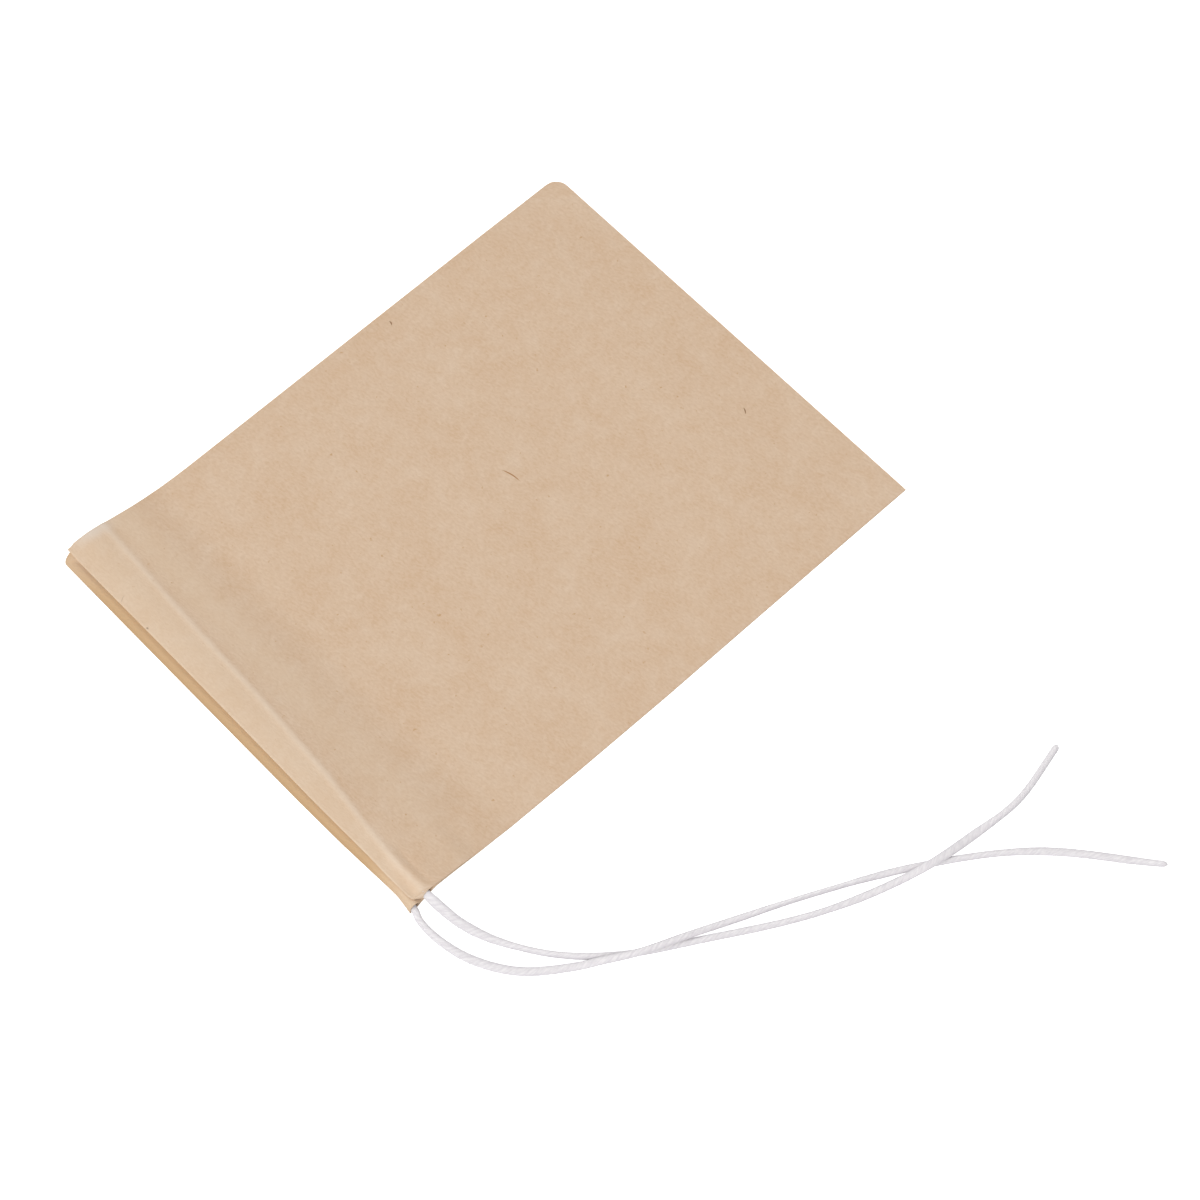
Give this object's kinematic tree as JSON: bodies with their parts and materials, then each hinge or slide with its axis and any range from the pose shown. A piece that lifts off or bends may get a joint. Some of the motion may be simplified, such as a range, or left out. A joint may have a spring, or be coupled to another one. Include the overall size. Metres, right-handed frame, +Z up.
{
  "type": "drawstring tea bag",
  "caption": "Empty flat tea bag of unbleached filter paper, with a hemmed open mouth and a drawstring that closes it.",
  "frame": {"origin": "under the middle of the paper bag, on the surface that it lies on", "axes": "+X along the mouth, from the folded side to the welded side; +Y from the open mouth to the closed bottom; +Z up, out of the front panel"},
  "size_m": [0.1324, 0.0906, 0.0034],
  "materials": {
    "filter_paper": "matt unbleached filter paper",
    "drawstring": "matt twisted thread"
  },
  "bodies": {
    "root": {"paper_bag": "filter_paper", "drawstring": "drawstring"}
  },
  "joints": []
}
